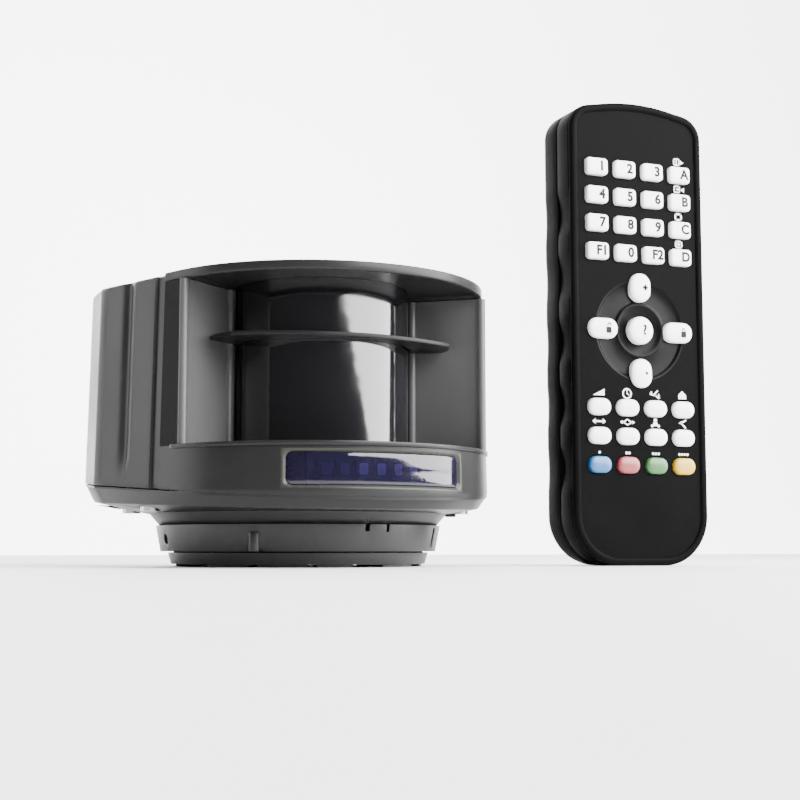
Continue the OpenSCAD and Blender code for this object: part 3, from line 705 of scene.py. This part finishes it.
def build_rear():
    """The wrap-round wall from seam to seam, up to the rim that the lid sits in."""
    half = rear_half()
    plan = half + [(-x, y, -nx, ny, run) for x, y, nx, ny, run in reversed(half[:-1])]
    plan = [(*plan[0][:4], -1.0)] + plan + [(*plan[-1][:4], -1.0)]
    levels = [(0.0, 1.5), (0.0, 0.45), (0.12, 0.12), (0.45, 0.0), (2.5, 0.0), (5.0, 0.0), (8.0, 0.0),
              (11.0, 0.0)]
    tops = [(36.0, 0.0), (48.0, 0.0), (60.0, 0.0), (72.0, 0.0), (82.4, 0.0), (83.0, 0.12), (83.35, 0.4),
            (83.5, 0.8), (83.5, WALL - 0.2), (83.4, WALL), (81.5, WALL)]
    rings = []
    for kind, (height, inset) in [("edge", v) for v in levels] + [("top", v) for v in tops]:
        ring = []
        for x, y, nx, ny, run in plan:
            z = edge_height(y) + height if kind == "edge" else height
            inward = inset + (SEAM_RETURN if run < 0 else rear_depth(run, z)) - drafted(z)
            if kind == "top" and inset >= WALL - 0.2:
                inward = inset - drafted(z)
            ring.append((x - nx * inward, y - ny * inward, z))
        rings.append(ring)
    points = [p for ring in rings for p in ring]
    return make_object("rear_shell", points, ring_faces(rings, False), "housing_plastic", "housing",
                       38.0)


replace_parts(build_rear(), "rear_case")

# ---------- handset ----------


def hand_point(x, z, v):
    return (HAND_X + x, HAND_Y + v, z)


def grip_limit(z):
    """Half width of the handset at height z, where the finger scallops cut into it."""
    limit = HAND_HALF
    for centre in GRIP_Z:
        away = abs(z - centre)
        if away < GRIP_R:
            reach = HAND_HALF + GRIP_R - GRIP_DEPTH - math.sqrt(GRIP_R ** 2 - away ** 2)
            limit = min(limit, reach)
    return limit


CORNER_POINTS = 13
SIDE_STEPS = 62
HALF_POINTS = 91


def hand_outline(inset, scalloped=0.0):
    """The handset's outline as (x, z), the same number of points at every inset."""
    w = HAND_HALF
    top = TOP_CORNER - inset
    low = LOW_CORNER - inset
    right = []
    for k in range(CORNER_POINTS):
        q = math.radians(k * 90 / (CORNER_POINTS - 1))
        right.append((w - LOW_CORNER + low * math.sin(q), LOW_CORNER - low * math.cos(q)))
    side_top = HAND_L - ARCH - TOP_CORNER
    for k in range(1, SIDE_STEPS):
        right.append((w - inset, LOW_CORNER + (side_top - LOW_CORNER) * k / SIDE_STEPS))
    for k in range(10):
        q = math.radians(k * 80 / 9)
        right.append((w - TOP_CORNER + top * math.cos(q), side_top + top * math.sin(q)))
    for k in range(7, 0, -1):
        u = k / 8
        right.append((u * (w - TOP_CORNER), HAND_L - inset - ARCH * u * u))
    shaped = []
    for x, z in right:
        cut = max(0.0, HAND_HALF - grip_limit(z)) * scalloped
        shaped.append((min(x, HAND_HALF - inset - cut), z))
    left = [(-x, z) for x, z in reversed(shaped)]
    return shaped + [(0, HAND_L - inset)] + left + [(0, inset)]


def hand_ring(inset, v, scalloped=0.0):
    return [hand_point(x, z, v) for x, z in hand_outline(inset, scalloped)]


# The shells from the inside of the rim round to the back: (inset, depth, share of the scallops)
FRONT_RINGS = [(2.75, 0.72, 0), (2.6, 0.6, 0), (2.45, 0.3, 0), (2.15, 0.09, 0), (1.7, 0.0, 0),
               (1.2, 0.0, 0), (0.75, 0.1, 0), (0.35, 0.36, 0), (0.1, 0.8, 0), (0.0, 1.3, 0),
               (0.05, 1.5, 0), (0.35, 1.62, 0.3), (0.45, 1.75, 0.6), (0.35, 1.9, 1), (0.08, 2.1, 1),
               (0.0, 2.5, 1), (0.0, 5.5, 1), (0.0, 8.9, 1), (0.1, 9.25, 1), (0.45, 9.42, 1),
               (0.9, 9.5, 1)]
BACK_GRIP = 0.36
BACK_RINGS = [(0.9, 9.5, BACK_GRIP), (0.45, 9.62, BACK_GRIP), (0.1, 9.8, BACK_GRIP),
              (0.0, 10.1, BACK_GRIP), (0.0, 13.0, BACK_GRIP), (0.05, HAND_T - 3.9, BACK_GRIP),
              (0.35, HAND_T - 2.4, BACK_GRIP), (0.9, HAND_T - 1.2, 0.3), (1.7, HAND_T - 0.45, 0.2),
              (2.7, HAND_T - 0.08, 0.1), (3.6, HAND_T, 0)]
loft("handset_rim", [hand_ring(*r) for r in FRONT_RINGS], "handset_plastic", "handset")
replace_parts(bpy.data.objects["handset_rim"], "handset_front")
DOOR_SLOT = 1.8


def shell_ring(inset, v, scalloped):
    """A ring of the back shell, with the slot at its foot that the battery door slides through."""
    side = [(x, z, v) for x, z in hand_outline(inset, scalloped)[CORNER_POINTS:HALF_POINTS]]
    low = LOW_CORNER - inset
    turn = math.asin((DOOR_HALF - HAND_HALF + LOW_CORNER) / low)
    slot_v = min(v, HAND_T - DOOR_SLOT)
    corner = [(q, slot_v) for q in spaced(0, turn, 4)]
    corner += [(q, v) for q in spaced(turn, math.pi / 2, 10)]
    right = [(HAND_HALF - LOW_CORNER + low * math.sin(q), LOW_CORNER - low * math.cos(q), depth)
             for q, depth in corner] + side
    left = [(-x, z, depth) for x, z, depth in reversed(right)]
    ring = right + [(0, HAND_L - inset, v)] + left + [(0, inset, slot_v)]
    return [hand_point(*p) for p in ring]


loft("handset_shell", [shell_ring(*r) for r in BACK_RINGS], "handset_plastic", "handset")
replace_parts(bpy.data.objects["handset_shell"], "handset_back")

# Width, height and corner radius of each kind of key
KEY_SHAPES = {"square": (7.8, 5.5, 1.3), "tall": (7.6, 9.4, 3.7), "wide": (10.6, 6.6, 3.2),
              "round": (9.0, 9.0, 4.5), "oval": (8.0, 5.4, 2.6)}


def key_outline(kind, grow=0.0):
    w, h, r = KEY_SHAPES[kind]
    return rounded(w, h, r, grow)


def circle(radius, steps=72):
    return [(radius * math.cos(math.tau * k / steps), radius * math.sin(math.tau * k / steps))
            for k in range(steps)]


def moved(points, x, z):
    return [(px + x, pz + z) for px, pz in points]


def inside(x, z, outline):
    odd = False
    for k in range(len(outline)):
        ax, az = outline[k]
        bx, bz = outline[k - 1]
        if (az > z) != (bz > z) and x < (bx - ax) * (z - az) / (bz - az) + ax:
            odd = not odd
    return odd


def sheet_with_holes(name, outline, holes, depth, slot, body):
    """A flat sheet at one depth of the handset, with holes through it."""
    points = []
    edges = []
    for loop in [outline] + holes:
        first = len(points)
        points.extend(Vector(p) for p in loop)
        count = len(loop)
        edges.extend((first + k, first + (k + 1) % count) for k in range(count))
    found = delaunay_2d_cdt(points, edges, [], 0, 1e-5)
    flat = found[0]
    kept = []
    for face in found[2]:
        cx = sum(flat[k].x for k in face) / len(face)
        cz = sum(flat[k].y for k in face) / len(face)
        if inside(cx, cz, outline) and not any(inside(cx, cz, hole) for hole in holes):
            kept.append(tuple(face))
    return make_object(name, [hand_point(p.x, p.y, depth) for p in flat], kept, slot, body)


def key_x(column):
    return (column - 1.5) * KEY_DX + KEY_OFF


DIGITS = [("1", "2", "3", "A"), ("4", "5", "6", "B"), ("7", "8", "9", "C"), ("F1", "0", "F2", "D")]
FUNCTIONS = [("wedge", "clock", "relay", "zone"), ("width", "frame", "person", "return")]
COLOURS = ("blue", "red", "green", "yellow")
KEYS = []
for row, labels in enumerate(DIGITS):
    for column, label in enumerate(labels):
        KEYS.append((label.lower(), key_x(column), ROW_TOP - row * KEY_DZ, "square", "key_white"))
KEYS += [("plus", KEY_OFF, NAV_Z + NAV_REACH, "tall", "key_white"),
         ("minus", KEY_OFF, NAV_Z - NAV_REACH, "tall", "key_white"),
         ("unlock", KEY_OFF - NAV_REACH, NAV_Z, "wide", "key_white"),
         ("lock", KEY_OFF + NAV_REACH, NAV_Z, "wide", "key_white"),
         ("query", KEY_OFF, NAV_Z, "round", "key_white")]
for row, labels in enumerate(FUNCTIONS):
    for column, label in enumerate(labels):
        KEYS.append((label, key_x(column), ROW_FN - row * KEY_DZ, "oval", "key_white"))
for column, label in enumerate(COLOURS):
    KEYS.append((label, key_x(column), ROW_FN - 2 * KEY_DZ, "oval", "key_" + label))

# A cap's side, its rounded edge and its gently domed top: (grow, depth)
FLAT_CAP = [(0, KEY_FOOT_V), (0, -0.05), (-0.06, -0.32), (-0.22, -0.53), (-0.5, -0.66),
            (-0.9, -0.73), (-1.2, -0.76)]
DOME_CAP = [(0, KEY_FOOT_V), (0, 0.25), (-0.07, -0.05), (-0.28, -0.33), (-0.65, -0.53),
            (-1.2, -0.68), (-1.9, -0.76)]
CROWN_SHARE = 0.4
for name, x, z, kind, finish in KEYS:
    levels = FLAT_CAP if kind == "square" else DOME_CAP
    rings = []
    for grow, v in levels:
        rings.append([hand_point(x + px, z + pz, v) for px, pz in key_outline(kind, grow)])
    grow, v = levels[-1]
    inner = [(px * CROWN_SHARE, pz * CROWN_SHARE) for px, pz in key_outline(kind, grow)]
    rings.append([hand_point(x + px, z + pz, KEY_TOP_V + 0.01) for px, pz in inner])
    cap = loft("cap_" + name, rings, finish, "key_" + name + "_cap", True, True, 50.0)
    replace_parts(cap, "key_" + name)

# The rounded edge of each key's opening, and the bowl round the navigation keys
HOLE_LIP = [(0.42, PANEL_V), (0.27, PANEL_V + 0.05), (0.2, PANEL_V + 0.2), (0.18, 2.5)]
NAV_RINGS = [(16.4, 0.7), (16.1, 0.73), (15.8, 0.86), (15.55, 1.1), (15.3, 1.3), (14.9, 1.42),
             (12.0, 1.46), (9.7, 1.42), (9.2, 1.3), (8.95, 1.05), (8.7, 0.84), (8.4, 0.76),
             (8.1, 0.8), (7.6, 1.05), (6.8, 1.45), (5.8, 1.75), (4.9, 1.9), (4.0, 1.95)]
NAV = ("plus", "minus", "unlock", "lock", "query")
HOLES = [moved(key_outline(k[3], HOLE_LIP[0][0]), k[1], k[2]) for k in KEYS if k[0] not in NAV]
HOLES.append(moved(circle(NAV_RINGS[0][0]), KEY_OFF, NAV_Z))
sheet_with_holes("handset_panel", hand_outline(RIM_W + 0.1), HOLES, PANEL_V, "handset_plastic",
                 "handset")
for k in KEYS:
    if k[0] in NAV:
        continue
    rings = [[hand_point(px, pz, v) for px, pz in moved(key_outline(k[3], grow), k[1], k[2])]
             for grow, v in HOLE_LIP]
    loft("well_" + k[0], rings, "handset_plastic", "handset")
loft("nav_bowl", [[hand_point(px, pz, v) for px, pz in moved(circle(r), KEY_OFF, NAV_Z)]
                  for r, v in NAV_RINGS], "handset_gloss", "handset", False, True)

# Back face with the battery door's opening and the screws' counterbores
FACE_INSET = 3.6
SHELF_Z = 13.0
FACE_CORNER = LOW_CORNER - FACE_INSET
DOOR_INTO_CORNER = DOOR_HALF - HAND_HALF + LOW_CORNER
FOOT_Z = LOW_CORNER - math.sqrt(FACE_CORNER ** 2 - DOOR_INTO_CORNER ** 2)
DOOR_CUT = [(-DOOR_HALF, FOOT_Z), (-DOOR_HALF, DOOR_Z1), (DOOR_HALF, DOOR_Z1), (DOOR_HALF, FOOT_Z)]
BACK_OUTLINE = [(x, z) for x, z in hand_outline(FACE_INSET) if abs(x) > DOOR_HALF or z > LOW_CORNER]
BORE = [(2.4, HAND_T), (2.3, HAND_T - 0.1), (2.3, HAND_T - 3.0), (1.1, HAND_T - 3.0)]
BORE_STEPS = 28
BACK_HOLES = [moved(circle(BORE[0][0], BORE_STEPS), x, z) for x, z in HAND_SCREWS]
sheet_with_holes("handset_back_face", BACK_OUTLINE + DOOR_CUT, BACK_HOLES, HAND_T, "handset_plastic",
                 "handset")
for index, (x, z) in enumerate(HAND_SCREWS):
    rings = [[hand_point(px, pz, v) for px, pz in moved(circle(r, BORE_STEPS), x, z)] for r, v in BORE]
    loft("counterbore_%d" % index, rings, "handset_plastic", "handset")
WELL_RINGS = [[hand_point(px, pz, v) for px, pz in DOOR_CUT] for v in (HAND_T, HAND_T - DOOR_SLOT)]
make_object("door_well", WELL_RINGS[0] + WELL_RINGS[1], ring_faces(WELL_RINGS, False),
            "handset_plastic", "handset")
SHELF_V = HAND_T - DOOR_SLOT - 0.02
SHELF = [(-DOOR_HALF, SHELF_Z), (-DOOR_HALF, FOOT_Z - 0.6), (-8.5, FACE_INSET - 0.4),
         (8.5, FACE_INSET - 0.4), (DOOR_HALF, FOOT_Z - 0.6), (DOOR_HALF, SHELF_Z)]
make_object("door_shelf", [hand_point(px, pz, SHELF_V) for px, pz in SHELF],
            [tuple(range(len(SHELF)))], "handset_plastic", "handset")

# Lenses of the two infrared emitters in the top end
EMITTER_RINGS = [(2.5, HAND_L - 1.2), (2.5, HAND_L - 0.22), (2.42, HAND_L - 0.1),
                 (2.2, HAND_L - 0.04), (1.2, HAND_L - 0.03)]
for index, x in enumerate(EMITTERS):
    rings = [[(HAND_X + x + px, HAND_Y + EMITTER_V + py, z) for px, py in circle(r, 32)]
             for r, z in EMITTER_RINGS]
    loft("emitter_lens_%d" % index, rings, "window_plastic", "handset", False, True)

# ---------- printed characters and symbols ----------


def stroke(ax, az, bx, bz, width):
    """A straight printed line as one four-sided outline."""
    along = Vector((bx - ax, bz - az)).normalized() * width / 2
    side = Vector((-along.y, along.x))
    return [(ax - along.x - side.x, az - along.y - side.y),
            (bx + along.x - side.x, bz + along.y - side.y),
            (bx + along.x + side.x, bz + along.y + side.y),
            (ax - along.x + side.x, az - along.y + side.y)]


def hoop(radius, width, steps=24):
    """A printed circle as a run of short outlines."""
    outer = circle(radius + width / 2, steps)
    inner = circle(radius - width / 2, steps)
    return [[outer[k - 1], outer[k], inner[k], inner[k - 1]] for k in range(steps)]


def box_line(x0, z0, x1, z1, width):
    return [stroke(x0, z0, x1, z0, width), stroke(x1, z0, x1, z1, width),
            stroke(x1, z1, x0, z1, width), stroke(x0, z1, x0, z0, width)]


def print_shapes(name, shapes, x, z, v, slot, body):
    points = []
    faces = []
    for shape in shapes:
        first = len(points)
        count = len(shape)
        points += [hand_point(x + px, z + pz, v - PRINT_T) for px, pz in shape]
        points += [hand_point(x + px, z + pz, v + 0.1) for px, pz in shape]
        faces.append(tuple(range(first, first + count)))
        for k in range(count):
            near = first + k
            far = first + (k + 1) % count
            faces.append((near, far, far + count, near + count))
    return make_object(name, points, faces, slot, body)


TEXT_BOLD = 0.17
TEXT_RISE = 0.03


def print_text(name, text, size, x, z, v, slot, body):
    curve = bpy.data.curves.new(name, "FONT")
    curve.body = text
    curve.size = size * MM
    curve.align_x = "CENTER"
    curve.align_y = "CENTER"
    curve.extrude = TEXT_RISE * MM
    curve.offset = TEXT_BOLD * MM
    curve.resolution_u = 4
    maker = bpy.data.objects.new(name, curve)
    bpy.context.scene.collection.objects.link(maker)
    graph = bpy.context.evaluated_depsgraph_get()
    mesh = bpy.data.meshes.new_from_object(maker.evaluated_get(graph))
    bpy.data.objects.remove(maker)
    mesh.transform(Matrix.Rotation(math.radians(90), 4, "X"))
    mesh.transform(Matrix.Translation(Vector(hand_point(x, z, v)) * MM))
    return finish_object(name, mesh, slot, body)


TEXT_SIZE = 4.3
TEXT_SHIFT = 1.5
PAIR_SHIFT = 1.2
QUERY_SIZE = 4.4
QUERY_SHIFT = 1.0
for name, x, z, kind, finish in KEYS:
    body = "key_" + name + "_cap"
    if kind == "square":
        shift = PAIR_SHIFT if len(name) > 1 else TEXT_SHIFT
        print_text("print_" + name, name.upper(), TEXT_SIZE, x + shift, z, KEY_TOP_V,
                   "dark_print", body)
    elif name == "query":
        print_text("print_query", "?", QUERY_SIZE, x + QUERY_SHIFT, z, KEY_TOP_V, "dark_print", body)

PADLOCK = [moved(rounded(1.9, 2.0, 0.4), 0, -0.6)]
SHACKLE = [[(0.62 * math.cos(q) * s, 0.35 + 0.95 * math.sin(q) * s) for s, q in
            ((1.25, a), (1.25, b), (0.8, b), (0.8, a))]
           for a, b in ((math.radians(18 * k), math.radians(18 * k + 18)) for k in range(10))]
OPEN_SHACKLE = [[(px + 0.25, pz + 0.25) for px, pz in part] for part in SHACKLE]
KEY_SYMBOLS = {
    "plus": ([stroke(-0.55, 0, 0.55, 0, 0.75), stroke(0, -0.55, 0, 0.55, 0.75)], 1.4),
    "minus": ([circle(0.5, 16)], 1.4),
    "unlock": (PADLOCK + OPEN_SHACKLE, 1.6),
    "lock": (PADLOCK + SHACKLE, 1.6),
}
for name, x, z, kind, finish in KEYS:
    if name in KEY_SYMBOLS:
        shapes, shift = KEY_SYMBOLS[name]
        print_shapes("print_" + name, shapes, x + shift, z, KEY_TOP_V - 0.01, "dark_print",
                     "key_" + name + "_cap")

PANEL_SYMBOLS = {
    "wedge": [[(-2.1, -0.9), (2.1, -0.9), (2.1, 1.2)]],
    "clock": hoop(1.5, 0.45) + [stroke(0, 0, 0, 0.85, 0.35), stroke(0, 0, 0.55, -0.35, 0.35)],
    "relay": [stroke(-1.7, 0.2, 0.2, -0.2, 0.55), stroke(0.2, -0.2, 1.4, -1.0, 0.5),
              stroke(-0.3, 0.1, 0.9, 1.2, 0.5), stroke(-1.7, 0.2, -1.3, 0.8, 0.5),
              stroke(1.4, 0.1, 1.6, -1.0, 0.4)],
    "zone": [[(-1.5, -1.0), (1.4, -1.0), (1.4, 0.3), (-0.1, 1.6), (-1.5, 0.3)]],
    "width": [[(-2.4, 0), (-1.3, -0.85), (-1.3, 0.85)], [(2.4, 0), (1.3, 0.85), (1.3, -0.85)],
              stroke(-1.3, 0, 1.3, 0, 0.5)],
    "frame": [[(-2.7, 0), (-1.8, -0.6), (-1.8, 0.6)], [(2.7, 0), (1.8, 0.6), (1.8, -0.6)],
              stroke(-1.5, 0, 0, 0.9, 0.4), stroke(0, 0.9, 1.5, 0, 0.4),
              stroke(1.5, 0, 0, -0.9, 0.4), stroke(0, -0.9, -1.5, 0, 0.4)],
    "person": [moved(circle(0.6, 16), 0, 0.95), [(-0.7, 0.25), (0.7, 0.25), (0.9, -0.9), (-0.9, -0.9)],
               moved(circle(0.45, 14), -1.2, -0.9), moved(circle(0.45, 14), 1.2, -0.9)],
    "return": [stroke(1.0, 1.2, -0.6, 0.3, 0.5), stroke(-0.6, 0.3, 0.9, -1.1, 0.5),
               [(-1.5, 0.35), (-0.2, -0.35), (-0.2, 1.05)]],
}
ICON_RISE = 4.55
DOTS_RISE = 3.9
DOOR_ICON_RISE = 4.5
for name, x, z, kind, finish in KEYS:
    if name in PANEL_SYMBOLS:
        print_shapes("icon_" + name, PANEL_SYMBOLS[name], x, z + ICON_RISE, PANEL_V,
                     "light_print", "handset")
    if name in COLOURS:
        number = COLOURS.index(name) + 1
        dots = [moved(circle(0.42, 14), (k - (number - 1) / 2) * 1.0, 0) for k in range(number)]
        print_shapes("dots_" + name, dots, x, z + DOTS_RISE, PANEL_V, "light_print", "handset")

DOOR_ICONS = {
    "a": box_line(-1.4, -0.9, 0.6, 1.1, 0.4) + [stroke(-0.4, -0.4, -0.4, 0.6, 0.4),
                                               [(1.0, 0.8), (1.0, -0.8), (2.3, 0)]],
    "b": box_line(-1.4, -0.9, 0.6, 1.1, 0.4) + [stroke(-0.4, 0.1, 0.2, 0.1, 0.5),
                                               [(2.3, 0.8), (2.3, -0.8), (1.0, 0)]],
    "c": box_line(-1.2, -1.0, 1.0, 1.0, 0.6),
    "d": box_line(-1.2, -1.0, 1.0, 1.0, 0.5) + [moved(circle(0.5, 14), -0.1, 0)],
}
for name, x, z, kind, finish in KEYS:
    if name in DOOR_ICONS:
        print_shapes("icon_" + name, DOOR_ICONS[name], x - 0.1, z + DOOR_ICON_RISE, PANEL_V,
                     "light_print", "handset")

# ---------- plain CAD pieces take their finishes ----------

SLOT_OF = {part["node"]: part["material_slot"] for part in frame["record"]["subparts"]}
for name, node in frame["nodes"].items():
    slot = SLOT_OF.get(name)
    if slot in MATERIALS and not node.hide_render:
        node.data.materials.clear()
        node.data.materials.append(MATERIALS[slot])

# ---------- floor and light ----------

FLOOR = 3.0
WALL_Y = 1.0
WALL_LEFT = -0.75
WALL_RIGHT = 3.0
WALL_TOP = 1.6
WALL_FOOT = -0.01


def stage_plane(name, corners, finish):
    mesh = bpy.data.meshes.new(name)
    mesh.from_pydata(corners, [], [(0, 1, 2, 3)])
    mesh.materials.append(MATERIALS[finish])
    plane = bpy.data.objects.new(name, mesh)
    bpy.context.scene.collection.objects.link(plane)


stage_plane("floor", [(-FLOOR, -FLOOR, 0), (FLOOR, -FLOOR, 0), (FLOOR, FLOOR, 0), (-FLOOR, FLOOR, 0)],
            "floor_paint")
stage_plane("wall", [(WALL_LEFT, WALL_Y, WALL_FOOT), (WALL_RIGHT, WALL_Y, WALL_FOOT),
                     (WALL_RIGHT, WALL_Y, WALL_TOP), (WALL_LEFT, WALL_Y, WALL_TOP)], "wall_light")

AIM = Vector((0.03, -0.03, 0.05))


def area_light(name, matrix, width, height, power):
    data = bpy.data.lights.new(name, "AREA")
    data.shape = "RECTANGLE"
    data.size = width
    data.size_y = height
    data.energy = power
    light = bpy.data.objects.new(name, data)
    light.matrix_world = matrix
    bpy.context.scene.collection.objects.link(light)
    return light


def softbox(name, at, width, height, power, aim=AIM):
    turn = (aim - Vector(at)).to_track_quat("-Z", "Y").to_matrix().to_4x4()
    area_light(name, Matrix.Translation(Vector(at)) @ turn, width, height, power)


def edge_softbox(name, start, end, rise, power):
    """A softbox whose lower edge runs from start to end, and which stands rise high over it."""
    along = Vector(end) - Vector(start)
    across = along.normalized()
    face = across.cross(Vector((0, 0, 1))).normalized()
    if face.dot(AIM - Vector(start)) > 0:
        face = -face
    up = face.cross(across).normalized()
    centre = Vector(start) + along / 2 + up * rise / 2
    turn = Matrix((across, up, face)).transposed().to_4x4()
    area_light(name, Matrix.Translation(centre) @ turn, along.length, rise, power)


edge_softbox("light_right", (0.07, -1.04, 0.278), (0.74, -0.17, -0.03), 0.75, 60)
softbox("light_left", (-0.75, 0.28, 0.2), 0.45, 0.6, 4.5)
softbox("light_top", (0.0, -0.05, 0.9), 0.8, 0.7, 8)
world = bpy.data.worlds.new("studio")
world.use_nodes = True
backdrop = world.node_tree.nodes["Background"]
backdrop.inputs["Color"].default_value = (1, 1, 1, 1)
backdrop.inputs["Strength"].default_value = 0.12
bpy.context.scene.world = world
